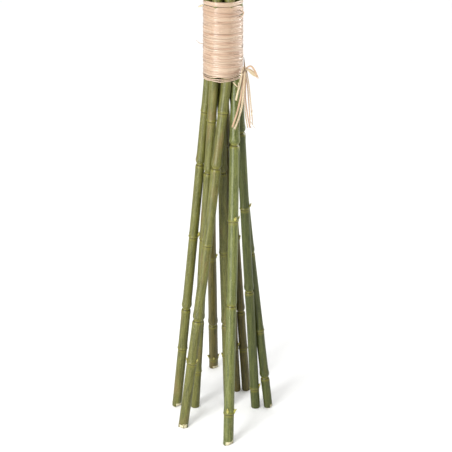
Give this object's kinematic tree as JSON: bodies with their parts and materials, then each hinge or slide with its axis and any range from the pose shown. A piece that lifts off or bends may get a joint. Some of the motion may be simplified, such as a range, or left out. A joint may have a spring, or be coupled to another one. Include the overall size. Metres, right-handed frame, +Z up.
{
  "type": "tiki torch",
  "caption": "Free-standing garden torch: bamboo canes lashed with raffia at the waist, splayed below as legs and above to hold a lift-out oil canister with a screw lid, wick and snuffer.",
  "frame": {"origin": "on the ground, under the torch's axis, at the centre of its footprint", "axes": "+Z up along the torch's axis; -Y towards the front, where the knot's loose ends hang to the right"},
  "size_m": [0.1851, 0.2971, 1.4896],
  "materials": {
    "bamboo": "satin green rind",
    "raffia": "dry fibrous",
    "canister_steel": "brushed",
    "seal_rubber": "matt",
    "burner_brass": "satin",
    "wick_glassfibre": "woven, charred at the tip",
    "snuffer_steel": "brushed"
  },
  "bodies": {
    "stand": {"cane_left": "bamboo", "cane_left_inner": "bamboo", "cane_front_left": "bamboo", "cane_front": "bamboo", "cane_right_inner": "bamboo", "cane_right": "bamboo", "cane_rear_inner": "bamboo", "cane_rear": "bamboo", "cane_core_front": "bamboo", "cane_core_rear": "bamboo", "waist_binding": "raffia", "waist_knot": "raffia", "upper_binding": "raffia", "upper_knot": "raffia", "tail_blade": "raffia", "tail_left_outer": "raffia", "tail_left_inner": "raffia", "tail_right_inner": "raffia", "tail_right_outer": "raffia", "tail_short": "raffia"},
    "canister": {"canister_cup": "canister_steel", "canister_shoulder": "canister_steel", "filler_neck": "canister_steel"},
    "seal": {"lid_seal": "seal_rubber"},
    "lid": {"burner_lid": "burner_brass", "wick_tube": "burner_brass"},
    "wick": {"wick": "wick_glassfibre"},
    "snuffer": {"snuffer_cap": "snuffer_steel", "snuffer_knob": "snuffer_steel"}
  },
  "joints": [
    {"name": "canister_lift", "type": "slide", "parent": "stand", "child": "canister", "axis": [0, 0, 1], "range_m": [0, 0.13]},
    {"name": "lid_rise", "type": "slide", "parent": "canister", "child": "seal", "axis": [0, 0, 1], "range_m": [0, 0.009]},
    {"name": "lid_turn", "type": "hinge", "parent": "seal", "child": "lid", "pos_m": [0, 0, 1.43], "axis": [0, 0, 1], "range_deg": [0, 1080]},
    {"name": "wick_raise", "type": "slide", "parent": "lid", "child": "wick", "axis": [0, 0, 1], "range_m": [0, 0.012]},
    {"name": "snuffer_lift", "type": "slide", "parent": "lid", "child": "snuffer", "axis": [0, 0, 1], "range_m": [0, 0.06]}
  ],
  "couplings": [
    {"joint": "lid_rise", "follows": "lid_turn", "m_per_rad": 0.00047746}
  ]
}
